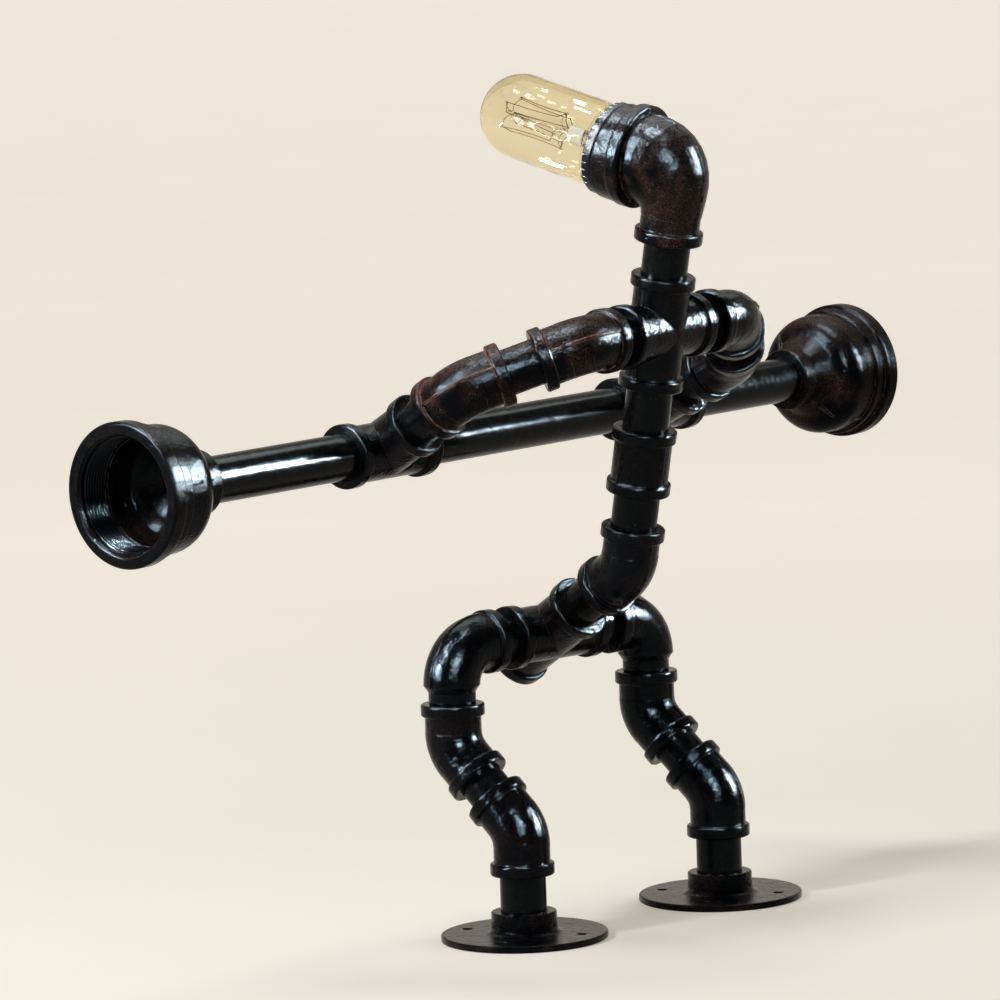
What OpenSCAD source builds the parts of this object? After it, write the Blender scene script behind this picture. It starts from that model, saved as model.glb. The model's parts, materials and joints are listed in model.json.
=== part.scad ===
// Desk lamp in the shape of a robot, screwed together from malleable iron pipe fittings.
// Millimetres, +Z up. The figure looks towards -Y and its left hand is on the +X side.
// The origin lies on the table, midway between the soles of the two feet.
// Everything hangs on a skeleton of points: each fitting turns the run by its own angle,
// and each nipple adds the length that shows between two fittings.

/* [Pipe] */
// Outside diameter of every pipe and nipple
pipe_od = 26.9; // [25:0.1:28.5]
// Inside diameter of every pipe and nipple
pipe_id = 20.9; // [16:0.1:22]
// Length of pipe screwed into each port
engagement = 14; // [12:0.5:15]
// Radial clearance between a pipe end and its port
thread_gap = 0.08; // [0.03:0.01:0.1]
// Space left between a pipe end and the shoulder inside its port
shoulder_gap = 0.4; // [0.2:0.1:1]

/* [Fittings] */
// Diameter of the band round each small port
band_d = 37.4; // [35:0.2:40]
// Width of the band round each small port
band_w = 7.2; // [5:0.1:9]
// Radius on the edges of the bands
band_edge = 1.2; // [0.5:0.1:2]
// Outside diameter of the cast bodies
body_d = 33.2; // [32.2:0.1:34.2]
// Waterway diameter inside the fittings
waterway_d = 21.4; // [18:0.2:24]
// Centreline radius of the bends
bend_radius = 22; // [20:0.5:24]
// Centre to end of a 90 degree elbow
elbow90_reach = 33.2; // [32:0.1:37]
// Centre to end of a 45 degree elbow
elbow45_reach = 25.9; // [24.4:0.1:28]
// Centre to end of a tee or a cross
cross_reach = 33.6; // [32:0.1:37]
// Centre to the end of the male leg of a street elbow
street_reach = 46.5; // [45:0.5:52]
// Length of the straight coupling
coupling_len = 38.5; // [34:0.2:44]
// Body diameter of the straight coupling
coupling_d = 33.6; // [32.4:0.1:35]
// Height of the mould parting ridge above the body
ridge_h = 0.8; // [0.4:0.1:1.2]
// Width of the mould parting ridge
ridge_w = 1.6; // [1:0.1:2.4]

/* [Feet] */
// Diameter of each foot flange
flange_d = 97; // [88:1:106]
// Thickness of the flange plate
flange_t = 4; // [3.5:0.1:6]
// Diameter of the hub on the flange
hub_d = 38.2; // [35:0.2:41]
// Height of the hub above the table
hub_h = 16.5; // [16:0.5:22]
// Radius of the fillet where the hub meets the plate
hub_fillet = 4; // [2:0.5:6]
// Diameter of the circle of screw holes
screw_circle_d = 72; // [66:1:76]
// Diameter of the screw holes
screw_hole_d = 6.5; // [4:0.5:8]
// Number of screw holes in each flange
screw_count = 4; // [3:1:6]
// Angle of the first screw hole, from straight ahead
screw_turn = 12; // [0:1:89]

/* [Legs] */
// Length of shin nipple in sight above the flange
shin_show = 21.2; // [12:0.1:40]
// Length of calf nipple in sight between ankle and knee
calf_show = 12.8; // [4:0.1:40]
// Length of hip nipple in sight beside the pelvis
hip_show = 11.4; // [6:0.1:40]
// Bend of the ankle and knee elbows
leg_bend = 45; // [40:1:50]
// Turn of the left leg about the vertical
left_leg_turn = 12; // [-15:1:25]
// Turn of the right leg about the vertical
right_leg_turn = 17; // [-15:1:25]

/* [Torso] */
// Backward lean of the torso from the vertical
lean = 12.2; // [4:0.1:18]
// Bend of the waist elbow
waist_bend = 46.5; // [40:0.5:50]
// Length of waist nipple in sight
waist_show = 21.9; // [8:0.1:40]
// Length of lower torso nipple in sight
belly_show = 20.6; // [8:0.1:50]
// Length of upper torso nipple in sight
chest_show = 24.4; // [8:0.1:60]
// Length of neck nipple in sight
neck_show = 19.7; // [8:0.1:40]
// Turn of the shoulders about the torso
shoulder_turn = 7; // [-15:0.5:20]

/* [Left arm] */
// Length of the left shoulder nipple in sight
left_shoulder_show = 10.1; // [3:0.1:30]
// Roll of the left shoulder elbow, downwards from straight ahead
left_shoulder_roll = 24; // [-20:1:60]
// Length of the left upper arm nipple in sight
left_upper_show = 18.7; // [8:0.1:40]
// Roll of the left arm elbow, away from straight up
left_elbow_roll = 115.7; // [90:0.1:140]
// Length of the left forearm nipple in sight
left_fore_show = 14.7; // [4:0.1:30]
// Bend of the left arm's two elbows
left_arm_bend = 45; // [42:1:48]
// Roll of the left hand tee about the forearm
left_hand_roll = 0.9; // [-10:0.1:10]

/* [Right arm] */
// Length of the right shoulder nipple in sight
right_shoulder_show = 11; // [4:0.1:30]
// Roll of the right hand tee about the bar
right_hand_roll = 25; // [-60:0.5:60]
// Length of the right forearm nipple in sight
right_fore_show = 13.1; // [4:0.1:30]
// Distance between the two hand tees along the bar
grip_spacing = 242; // [226:0.5:258]

/* [Bar] */
// Length of bar in sight between the left hand and its bell
bar_left_show = 119.2; // [60:0.1:170]
// Length of bar in sight between the right hand and its bell
bar_right_show = 97.4; // [60:0.1:170]

/* [Bells] */
// Length of a bell from its small end to its mouth
bell_len = 62.6; // [56:0.1:70]
// Diameter of the band round the mouth
bell_rim_d = 82; // [80:0.5:86]
// Width of the band round the mouth
bell_rim_w = 10; // [8:0.5:12]
// Diameter of the second band, behind the rim
bell_step_d = 77; // [75.5:0.5:78.5]
// Width of the second band
bell_step_w = 7.6; // [5:0.2:9]
// Diameter of the bell's body
bell_body_d = 73; // [71.5:0.5:74]
// Width of the band round the small end
bell_neck_w = 10.5; // [8:0.5:12]
// Thread bore of the mouth
bell_mouth_d = 65.5; // [63:0.5:66.5]
// Depth of the thread bore in the mouth
bell_mouth_depth = 21; // [18:0.5:24]
// Chamfer round the mouth
bell_chamfer = 1.8; // [0.5:0.1:2.5]
// Roll of the mould parting line about the bar, left bell
left_bell_roll = 100; // [-180:1:180]
// Roll of the mould parting line about the bar, right bell
right_bell_roll = -40; // [-180:1:180]

/* [Head] */
// Centre of the head elbow to its lower end
head_reach_down = 44.3; // [42:0.1:50]
// Centre of the head elbow to its mouth
head_reach_out = 41.3; // [40:0.1:48]
// Radius of the long arc over the back of the head
head_arc = 39; // [34:0.5:42]
// Diameter of the head's body at the mouth
head_body_d = 51; // [49:0.5:53]
// How far the back of the head bulges past its arc
head_bulge = 3.2; // [0:0.2:4]
// Diameter of the band round the head's lower end
head_foot_band_d = 39.6; // [38:0.2:42]
// Diameter of the band behind the mouth
head_band_d = 60; // [58:0.5:62]
// Width of the band behind the mouth
head_band_w = 8.4; // [7:0.2:9]
// Diameter of the ring round the mouth
mouth_ring_d = 56.4; // [54:0.2:57]
// Width of the ring round the mouth
mouth_ring_w = 10.8; // [9:0.2:12]
// Upward tilt of the mouth and the lamp holder
mouth_tilt = 4.5; // [0:0.5:6]
// Bore of the head's mouth
head_bore_d = 42; // [41:0.2:44]
// Turn of the head about the neck, towards the left hand
head_turn = 12.5; // [-40:0.5:40]

/* [Lamp holder] */
// Wall of the collar round the glass
collar_wall = 1.8; // [1.2:0.1:2.4]
// Clearance between the collar and the glass
collar_gap = 0.7; // [0.4:0.1:1.2]
// Length of the collar in front of the mouth
collar_w = 6; // [4:0.5:10]
// Length of the lamp holder inside the head
holder_len = 34; // [32:0.5:35]
// Length of the wide front part of the lamp holder
holder_front = 26; // [20:0.5:28]
// Inside diameter of the threaded shell
shell_id = 26.6; // [26.4:0.1:27.4]
// Wall of the threaded shell
shell_wall = 0.5; // [0.3:0.1:0.8]

/* [Bulb] */
// Diameter of the glass tube
bulb_d = 49.6; // [46:0.2:51]
// Length of the bulb from its contact to the tip of the glass
bulb_len = 121; // [108:1:130]
// Wall of the glass
glass_wall = 0.8; // [0.5:0.1:1.2]
// Length of the metal cap
cap_len = 24; // [22:0.5:26]
// Radial clearance between the cap and the threaded shell
cap_gap = 0.1; // [0.05:0.01:0.1]
// Number of filament strands
strand_count = 8; // [4:2:12]
// Diameter of the filament strands
strand_d = 0.7; // [0.5:0.1:1]

/* [Wiring] */
// Diameter of the lead inside the pipes
lead_d = 5; // [4:0.5:8]
// Bore of the cable bush in the pelvis
bush_bore_d = 7.2; // [5:0.2:9]
// Clearance between parts that only lie against each other
touch_gap = 0.3; // [0.2:0.05:0.5]

/* [Hidden] */
$fn = 64;

// Each straight leg is a hair thinner than its bend, so that the two share no edge
hair = 0.12;
pipe_r = pipe_od / 2;
port_r = pipe_r + thread_gap;
port_depth = engagement + shoulder_gap;
body_r = body_d / 2;
waterway_r = waterway_d / 2;
iron = [0.07, 0.07, 0.08];
worn_iron = [0.16, 0.11, 0.10];
brass = [0.78, 0.62, 0.30];
amber = [0.90, 0.62, 0.22, 0.45];

// ---------------------------------------------------------------- directions and points
up = [0, 0, 1];
front = [0, -1, 0];
left = [1, 0, 0];

function unit(v) = v / norm(v);
function turned(v, axis, angle) =
    v * cos(angle) + cross(axis, v) * sin(angle) + axis * (axis * v) * (1 - cos(angle));
// The part of ref that is square to d
function square_to(d, ref) = unit(ref - d * (d * ref));
// d bent by an angle towards ref, and rolled about d
function bent(d, ref, angle, roll = 0) =
    let(u = square_to(d, ref))
    unit(d * cos(angle) + (u * cos(roll) + cross(d, u) * sin(roll)) * sin(angle));
function angle_between(a, b) = acos(min(1, max(-1, unit(a) * unit(b))));

// Legs: from the table up to the hips, worked out downwards from the pelvis
ankle_z = hub_h + shin_show + elbow45_reach;
calf_len = 2 * elbow45_reach + calf_show;
knee_z = ankle_z + calf_len * cos(leg_bend);
knee_to_hip = elbow45_reach + street_reach - engagement;
hip_z = knee_z + knee_to_hip;
leg_run = calf_len * sin(leg_bend);
left_toe = turned(front, up, left_leg_turn);
right_toe = turned(front, up, right_leg_turn);
pelvis = up * hip_z + (left_toe + right_toe) * leg_run / 2;
hip_half = elbow90_reach + hip_show + cross_reach;

function hip(side) = pelvis + left * side * hip_half;
function knee(side) = hip(side) - up * knee_to_hip;
function calf_dir(toe) = unit(toe * sin(leg_bend) + up * cos(leg_bend));
function ankle(side, toe) = knee(side) - calf_dir(toe) * calf_len;
function foot(side, toe) = ankle(side, toe) - up * ankle_z;

// Torso, from the pelvis up to the head
torso_dir = turned(up, -left, lean);
waist_dir = turned(up, -left, lean + waist_bend);
waist = pelvis + waist_dir * (cross_reach + waist_show + elbow45_reach);
coupling_at = waist + torso_dir * (elbow45_reach + belly_show);
shoulder = coupling_at + torso_dir * (coupling_len + chest_show + cross_reach);
shoulder_dir = turned(left, torso_dir, shoulder_turn);
neck_top = shoulder + torso_dir * (cross_reach + neck_show);
head = neck_top + torso_dir * head_reach_down;
head_dir = turned(square_to(torso_dir, front), torso_dir, head_turn);
mouth = head + head_dir * head_reach_out;
// The mouth, the holder and the bulb look along this line
face_dir = turned(head_dir, cross(head_dir, torso_dir), mouth_tilt);

// Left arm, from the shoulder out to the hand
left_shoulder = shoulder + shoulder_dir * (cross_reach + left_shoulder_show + elbow45_reach);
left_upper_dir = bent(shoulder_dir, front, left_arm_bend, left_shoulder_roll);
left_elbow = left_shoulder + left_upper_dir * (2 * elbow45_reach + left_upper_show);
left_fore_dir = bent(left_upper_dir, up, left_arm_bend, left_elbow_roll);
left_hand = left_elbow + left_fore_dir * (elbow45_reach + left_fore_show + cross_reach);

// The bar through both hands
bar_dir = bent(left_fore_dir, shoulder_dir, 90, left_hand_roll);
right_hand = left_hand - bar_dir * grip_spacing;
bar_left_end = left_hand + bar_dir * (cross_reach + bar_left_show);
bar_right_end = right_hand - bar_dir * (cross_reach + bar_right_show);

// Right arm: its two elbows take whatever bend closes the loop to the bar
right_shoulder = shoulder - shoulder_dir * (cross_reach + right_shoulder_show + elbow45_reach);
right_hand_dir = bent(bar_dir, square_to(bar_dir, -front), 90, right_hand_roll);
right_elbow = right_hand + right_hand_dir * (cross_reach + right_fore_show + elbow45_reach);
right_upper_dir = unit(right_elbow - right_shoulder);
right_shoulder_bend = angle_between(-shoulder_dir, right_upper_dir);
right_elbow_bend = angle_between(right_upper_dir, -right_hand_dir);

// ---------------------------------------------------------------- placing
// Puts local +Z along z and local +X towards x
module place(at, z, x) {
    ez = unit(z);
    ex = square_to(ez, x);
    ey = cross(ez, ex);
    multmatrix([
        [ex[0], ey[0], ez[0], at[0]],
        [ex[1], ey[1], ez[1], at[1]],
        [ex[2], ey[2], ez[2], at[2]],
        [0, 0, 0, 1]
    ]) children();
}

// A reference that is never along d
function any_square(d) = abs(d * up) < 0.9 ? up : front;

// ---------------------------------------------------------------- shapes of the fittings
// Half section of a band, from the axis out, with its two edges rounded
module band_section(r, w, edge) {
    square([r - edge, w]);
    translate([0, edge]) square([r, w - 2 * edge]);
    translate([r - edge, edge]) circle(edge);
    translate([r - edge, w - edge]) circle(edge);
}

module band(r = band_d / 2, w = band_w, edge = band_edge) {
    rotate_extrude() band_section(r, w, edge);
}

// The solid leg of a port along +Z, with a root that ties it to the bend below
module port_leg(from, reach) {
    translate([0, 0, from]) cylinder(r = body_r - hair, h = reach - from - band_edge);
    leg_root(from, body_r - 1);
    translate([0, 0, reach - band_w]) band();
}

module leg_root(from, r) {
    translate([0, 0, from - 1]) cylinder(r = r, h = 2);
}

// What is bored out of a port along +Z
module port_bore(from, reach) {
    translate([0, 0, from]) cylinder(r = waterway_r + hair, h = reach - from);
    translate([0, 0, reach - port_depth]) cylinder(r = port_r, h = port_depth + 1);
}

// Frame of a bend in the XZ plane, from +Z at the origin's foot towards +X
module bend_frame(bend, tangent, radius) {
    translate([radius, 0, -tangent]) rotate([90, 0, 0]) rotate([0, 0, 180 - bend]) children();
}

module bend_solid(bend, r, tangent, radius) {
    bend_frame(bend, tangent, radius) rotate_extrude(angle = bend)
        translate([radius, 0]) circle(r);
}

// Parting ridge of a bend, a thin plate in the plane of the bend
module bend_ridge(bend, tangent, radius) {
    edge_r = body_r + ridge_h;
    bend_frame(bend, tangent, radius) rotate_extrude(angle = bend)
        translate([radius - edge_r, -ridge_w / 2]) square([2 * edge_r, ridge_w]);
}

// Parting ridge of a leg along +Z
module leg_ridge(from, reach) {
    edge_r = body_r + ridge_h - hair;
    thick = ridge_w - 2 * hair;
    translate([-edge_r, -thick / 2, from])
        cube([2 * edge_r, thick, reach - band_w / 2 - from]);
}

function bend_tangent(bend, radius) = radius * tan(bend / 2);
// The bend is as wide as its bands leave room for
function bend_fit(bend, reach) = min(bend_radius, (reach - band_w) / tan(bend / 2));

// Elbow: the run comes up local -Z and leaves towards +X, both ports female
module elbow(bend, reach_in, reach_out) {
    radius = bend_fit(bend, min(reach_in, reach_out));
    tangent = bend_tangent(bend, radius);
    difference() {
        union() {
            bend_solid(bend, body_r, tangent, radius);
            rotate([180, 0, 0]) port_leg(tangent, reach_in);
            rotate([0, bend, 0]) port_leg(tangent, reach_out);
            bend_ridge(bend, tangent, radius);
            rotate([180, 0, 0]) leg_ridge(tangent, reach_in);
            rotate([0, bend, 0]) leg_ridge(tangent, reach_out);
        }
        bend_solid(bend, waterway_r, tangent, radius);
        rotate([180, 0, 0]) port_bore(tangent, reach_in);
        rotate([0, bend, 0]) port_bore(tangent, reach_out);
    }
}

// Half section of the male leg of a street elbow
module male_section(from, reach) {
    taper = 4;
    neck_r = pipe_r + 0.4;
    polygon([
        [0, from], [body_r - hair, from], [neck_r + 1.2, from + taper / 2], [neck_r, from + taper],
        [neck_r, reach - engagement - 1], [pipe_r, reach - engagement], [pipe_r, reach], [0, reach]
    ]);
}

// Street elbow: a male leg down local -Z, a female port towards +X
module street_elbow() {
    radius = bend_fit(90, elbow90_reach);
    bore_r = pipe_id / 2;
    difference() {
        union() {
            bend_solid(90, body_r, radius, radius);
            rotate([180, 0, 0]) rotate_extrude() male_section(radius, street_reach);
            rotate([180, 0, 0]) leg_root(radius, body_r - 1);
            rotate([0, 90, 0]) port_leg(radius, elbow90_reach);
            bend_ridge(90, radius, radius);
            rotate([0, 90, 0]) leg_ridge(radius, elbow90_reach);
        }
        bend_solid(90, bore_r, radius, radius);
        rotate([180, 0, 0]) translate([0, 0, radius])
            cylinder(r = bore_r + hair, h = street_reach - radius + 1);
        rotate([0, 90, 0]) translate([0, 0, radius])
            cylinder(r = bore_r + hair, h = elbow90_reach - radius);
        rotate([0, 90, 0]) translate([0, 0, elbow90_reach - port_depth])
            cylinder(r = port_r, h = port_depth + 1);
    }
}

// Tee or cross in the XZ plane: run along X, branches along +Z and, on a cross, -Z
module branched(cross_ports) {
    branch_r = body_r - 0.15;
    branch_water_r = waterway_r - 0.15;
    edge_r = body_r + ridge_h;
    low = cross_ports ? -cross_reach : 0;
    ridge_reach = cross_reach - band_w / 2;
    difference() {
        union() {
            rotate([0, 90, 0]) translate([0, 0, band_edge - cross_reach])
                cylinder(r = body_r, h = 2 * (cross_reach - band_edge));
            translate([0, 0, cross_ports ? low + band_edge : 0])
                cylinder(r = branch_r, h = cross_reach - band_edge - (cross_ports ? low + band_edge : 0));
            for (side = [-1, 1]) rotate([0, 90 * side, 0])
                translate([0, 0, cross_reach - band_w]) band();
            translate([0, 0, cross_reach - band_w]) band();
            if (cross_ports) rotate([180, 0, 0]) translate([0, 0, cross_reach - band_w]) band();
            rotate([90, 0, 0]) linear_extrude(height = ridge_w, center = true) {
                square([2 * ridge_reach, 2 * edge_r], center = true);
                translate([-edge_r, cross_ports ? -ridge_reach : 0])
                    square([2 * edge_r, cross_ports ? 2 * ridge_reach : ridge_reach]);
            }
        }
        rotate([0, 90, 0]) cylinder(r = waterway_r, h = 2 * cross_reach, center = true);
        translate([0, 0, cross_ports ? low : 0])
            cylinder(r = branch_water_r, h = cross_reach - (cross_ports ? low : 0));
        for (side = [-1, 1]) rotate([0, 90 * side, 0])
            translate([0, 0, cross_reach - port_depth]) cylinder(r = port_r, h = port_depth + 1);
        translate([0, 0, cross_reach - port_depth]) cylinder(r = port_r, h = port_depth + 1);
        if (cross_ports) rotate([180, 0, 0])
            translate([0, 0, cross_reach - port_depth]) cylinder(r = port_r, h = port_depth + 1);
    }
}

// Straight tube between two points
module tube(from, to, outer_r, inner_r) {
    run = to - from;
    place(from, run, any_square(unit(run))) difference() {
        cylinder(r = outer_r, h = norm(run));
        translate([0, 0, -1]) cylinder(r = inner_r, h = norm(run) + 2);
    }
}

// Nipple between two port faces: it goes into each port by the engagement
module nipple(from, to) {
    reach = unit(to - from) * engagement;
    color(iron) tube(from - reach, to + reach, pipe_r, pipe_id / 2);
}

// Elbow at a point of the skeleton, with the run coming along in and leaving along out
module elbow_at(at, in, out, reach_in, reach_out) {
    color(iron) place(at, in, out) elbow(angle_between(in, out), reach_in, reach_out);
}

// ---------------------------------------------------------------- legs
module foot_flange(side, toe) {
    color(iron) place(foot(side, toe), up, toe) difference() {
        union() {
            rotate_extrude() {
                band_section(flange_d / 2, flange_t, 1);
                translate([0, flange_t - 0.5]) square([hub_d / 2, hub_h - flange_t - 0.5]);
                translate([0, hub_h - 4]) band_section(hub_d / 2, 4, 1);
                difference() {
                    translate([0, flange_t - 0.5])
                        square([hub_d / 2 + hub_fillet, hub_fillet + 0.5]);
                    translate([hub_d / 2 + hub_fillet, flange_t + hub_fillet])
                        circle(hub_fillet);
                }
            }
        }
        translate([0, 0, hub_h - port_depth]) cylinder(r = port_r, h = port_depth + 1);
        translate([0, 0, -1]) cylinder(r = waterway_r, h = hub_h);
        for (k = [0 : screw_count - 1]) rotate(screw_turn + k * 360 / screw_count)
            translate([screw_circle_d / 2, 0, -1])
                cylinder(r = screw_hole_d / 2, h = flange_t + 2);
    }
}

module shin_nipple(side, toe) {
    nipple(foot(side, toe) + up * hub_h, ankle(side, toe) - up * elbow45_reach);
}

module ankle_elbow(side, toe) {
    elbow_at(ankle(side, toe), up, calf_dir(toe), elbow45_reach, elbow45_reach);
}

module calf_nipple(side, toe) {
    nipple(ankle(side, toe) + calf_dir(toe) * elbow45_reach,
        knee(side) - calf_dir(toe) * elbow45_reach);
}

module knee_elbow(side, toe) {
    elbow_at(knee(side), calf_dir(toe), up, elbow45_reach, elbow45_reach);
}

module hip_elbow(side) {
    color(iron) place(hip(side), up, -left * side) street_elbow();
}

module hip_nipple(side) {
    nipple(hip(side) - left * side * elbow90_reach, pelvis + left * side * cross_reach);
}

module left_foot_flange() { foot_flange(1, left_toe); }
module right_foot_flange() { foot_flange(-1, right_toe); }
module left_shin_nipple() { shin_nipple(1, left_toe); }
module right_shin_nipple() { shin_nipple(-1, right_toe); }
module left_ankle_elbow() { ankle_elbow(1, left_toe); }
module right_ankle_elbow() { ankle_elbow(-1, right_toe); }
module left_calf_nipple() { calf_nipple(1, left_toe); }
module right_calf_nipple() { calf_nipple(-1, right_toe); }
module left_knee_elbow() { knee_elbow(1, left_toe); }
module right_knee_elbow() { knee_elbow(-1, right_toe); }
module left_hip_elbow() { hip_elbow(1); }
module right_hip_elbow() { hip_elbow(-1); }
module left_hip_nipple() { hip_nipple(1); }
module right_hip_nipple() { hip_nipple(-1); }

// ---------------------------------------------------------------- torso
module pelvis_cross() {
    color(iron) place(pelvis, waist_dir, left) branched(true);
}

// Bush in the free port of the pelvis, where the supply cable would come in
module cable_bush() {
    lip = 3;
    color([0.05, 0.05, 0.05])
        place(pelvis - waist_dir * cross_reach, -waist_dir, left) difference() {
            union() {
                translate([0, 0, -engagement]) cylinder(r = pipe_r, h = engagement + 0.5);
                translate([0, 0, thread_gap]) band(pipe_r + 2.5, lip, 1.2);
            }
            translate([0, 0, -engagement - 1])
                cylinder(r = bush_bore_d / 2, h = engagement + lip + 2);
        }
}

module waist_nipple() {
    nipple(pelvis + waist_dir * cross_reach, waist - waist_dir * elbow45_reach);
}

module waist_elbow() {
    elbow_at(waist, waist_dir, torso_dir, elbow45_reach, elbow45_reach);
}

module lower_torso_nipple() {
    nipple(waist + torso_dir * elbow45_reach, coupling_at);
}

module torso_coupling() {
    rib_w = 2.4;
    rib_h = 1;
    color(iron) place(coupling_at, torso_dir, front) difference() {
        union() {
            translate([0, 0, band_edge])
                cylinder(r = coupling_d / 2, h = coupling_len - 2 * band_edge);
            band();
            translate([0, 0, coupling_len - band_w]) band();
            for (turn = [0, 90]) rotate(turn)
                translate([-coupling_d / 2 - rib_h, -rib_w / 2, band_w / 2])
                    cube([coupling_d + 2 * rib_h, rib_w, coupling_len - band_w]);
        }
        translate([0, 0, -1]) cylinder(r = waterway_r, h = coupling_len + 2);
        translate([0, 0, -1]) cylinder(r = port_r, h = port_depth + 1);
        translate([0, 0, coupling_len - port_depth]) cylinder(r = port_r, h = port_depth + 1);
    }
}

module upper_torso_nipple() {
    nipple(coupling_at + torso_dir * coupling_len, shoulder - torso_dir * cross_reach);
}

module shoulder_cross() {
    color(iron) place(shoulder, torso_dir, shoulder_dir) branched(true);
}

module neck_nipple() { nipple(shoulder + torso_dir * cross_reach, neck_top); }

// Twin lead inside the pipes, from the bush up to the turning joint in the neck
module body_lead() {
    lead_bend = waist_bend;
    tangent = bend_tangent(lead_bend, bend_radius);
    start = pelvis - waist_dir * (cross_reach - engagement - touch_gap);
    finish = neck_top - torso_dir * touch_gap;
    color([0.75, 0.72, 0.65]) place(waist, waist_dir, torso_dir) union() {
        bend_solid(lead_bend, lead_d / 2, tangent, bend_radius);
        rotate([180, 0, 0]) translate([0, 0, tangent])
            cylinder(r = lead_d / 2 - hair, h = norm(waist - start) - tangent);
        rotate([0, lead_bend, 0]) translate([0, 0, tangent])
            cylinder(r = lead_d / 2 - hair, h = norm(finish - waist) - tangent);
        rotate([180, 0, 0]) leg_root(tangent, lead_d / 2 - 0.5);
        rotate([0, lead_bend, 0]) leg_root(tangent, lead_d / 2 - 0.5);
    }
}

// ---------------------------------------------------------------- arms
module left_shoulder_nipple() {
    nipple(shoulder + shoulder_dir * cross_reach, left_shoulder - shoulder_dir * elbow45_reach);
}

module left_shoulder_elbow() {
    elbow_at(left_shoulder, shoulder_dir, left_upper_dir, elbow45_reach, elbow45_reach);
}

module left_upper_arm_nipple() {
    nipple(left_shoulder + left_upper_dir * elbow45_reach,
        left_elbow - left_upper_dir * elbow45_reach);
}

module left_arm_elbow() {
    elbow_at(left_elbow, left_upper_dir, left_fore_dir, elbow45_reach, elbow45_reach);
}

module left_forearm_nipple() {
    nipple(left_elbow + left_fore_dir * elbow45_reach, left_hand - left_fore_dir * cross_reach);
}

module left_hand_tee() {
    color(iron) place(left_hand, -left_fore_dir, bar_dir) branched(false);
}

module right_shoulder_nipple() {
    nipple(shoulder - shoulder_dir * cross_reach, right_shoulder + shoulder_dir * elbow45_reach);
}

module right_shoulder_elbow() {
    elbow_at(right_shoulder, -shoulder_dir, right_upper_dir, elbow45_reach, elbow45_reach);
}

module right_upper_arm_nipple() {
    nipple(right_shoulder + right_upper_dir * elbow45_reach,
        right_elbow - right_upper_dir * elbow45_reach);
}

module right_arm_elbow() {
    elbow_at(right_elbow, right_upper_dir, -right_hand_dir, elbow45_reach, elbow45_reach);
}

module right_forearm_nipple() {
    nipple(right_elbow - right_hand_dir * elbow45_reach, right_hand + right_hand_dir * cross_reach);
}

module right_hand_tee() {
    color(iron) place(right_hand, right_hand_dir, bar_dir) branched(false);
}

// ---------------------------------------------------------------- bar and bells
module bar_left_pipe() { nipple(left_hand + bar_dir * cross_reach, bar_left_end); }
module bar_middle_pipe() {
    nipple(right_hand + bar_dir * cross_reach, left_hand - bar_dir * cross_reach);
}
module bar_right_pipe() { nipple(right_hand - bar_dir * cross_reach, bar_right_end); }

// Half section of the bell's outside: small band, neck, full shoulder, body, step and rim
module bell_outside() {
    step_z = bell_len - bell_rim_w - bell_step_w;
    round_r = bell_body_d / 5;
    shoulder_r = bell_body_d / 2;
    shoulder_z = step_z - bell_step_w * 1.5;
    corner = [shoulder_r - round_r, shoulder_z];
    band_section(band_d / 2, bell_neck_w, band_edge);
    translate([0, bell_neck_w / 2]) square([body_r + 0.8, shoulder_z - bell_neck_w]);
    // shoulder: a cone whose outer corner is a long arc
    polygon([
        [0, bell_neck_w + 0.5], [body_r + 0.8, bell_neck_w + 0.5],
        corner + round_r * [sin(12), -cos(12)], corner + round_r * [sin(45), -cos(45)],
        corner + [round_r, 0], [0, shoulder_z]
    ]);
    intersection() {
        translate(corner) circle(round_r);
        square([shoulder_r, shoulder_z]);
    }
    translate([0, shoulder_z - 0.5]) square([shoulder_r, step_z + 2 - shoulder_z]);
    translate([0, step_z]) band_section(bell_step_d / 2, bell_step_w + 2, 0.8);
    translate([0, bell_len - bell_rim_w]) band_section(bell_rim_d / 2, bell_rim_w, 1.6);
}

// Half section of the bell's inside: thread bore, bowl, and the port for the bar
module bell_inside() {
    bore_z = bell_len - bell_mouth_depth;
    mouth_r = bell_mouth_d / 2;
    bowl_r = mouth_r - 2;
    flare = bell_chamfer + 1;
    translate([0, bore_z]) square([mouth_r, bell_mouth_depth + 1]);
    polygon([
        [0, bell_len - bell_chamfer], [mouth_r, bell_len - bell_chamfer],
        [mouth_r + flare, bell_len + 1], [0, bell_len + 1]
    ]);
    // the bowl's bottom is rounded in three steps
    polygon([
        [0, port_depth - 1], [waterway_r, port_depth - 1], [waterway_r, port_depth + 3],
        [bowl_r * 0.62, port_depth + 7], [bowl_r * 0.86, port_depth + 13],
        [bowl_r * 0.97, port_depth + 20], [bowl_r, bore_z - 1], [bowl_r, bore_z + 1], [0, bore_z + 1]
    ]);
    translate([0, -1]) square([port_r, port_depth + 1]);
}

module bell(at, dir, roll) {
    color(worn_iron) place(at, dir, up) rotate(roll) difference() {
        union() {
            rotate_extrude() bell_outside();
            // parting ridge over the body, in two halves
            rotate([90, 0, 0]) linear_extrude(height = ridge_w, center = true)
                for (half = [-1, 1]) scale([half, 1]) bell_ridge();
        }
        rotate_extrude() bell_inside();
    }
}

// One half of the ridge plate: a little wider than the shoulder and the body behind the rim
module bell_ridge() {
    step_z = bell_len - bell_rim_w - bell_step_w;
    ridge_r = bell_body_d / 2 + ridge_h;
    polygon([
        [0, bell_neck_w + 1], [body_r + 1.4, bell_neck_w + 1], [ridge_r * 0.85, bell_neck_w + 11],
        [ridge_r, step_z - bell_step_w], [ridge_r, step_z + 1], [0, step_z + 1]
    ]);
}

module left_bell() { bell(bar_left_end, bar_dir, left_bell_roll); }
module right_bell() { bell(bar_right_end, -bar_dir, right_bell_roll); }

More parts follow.
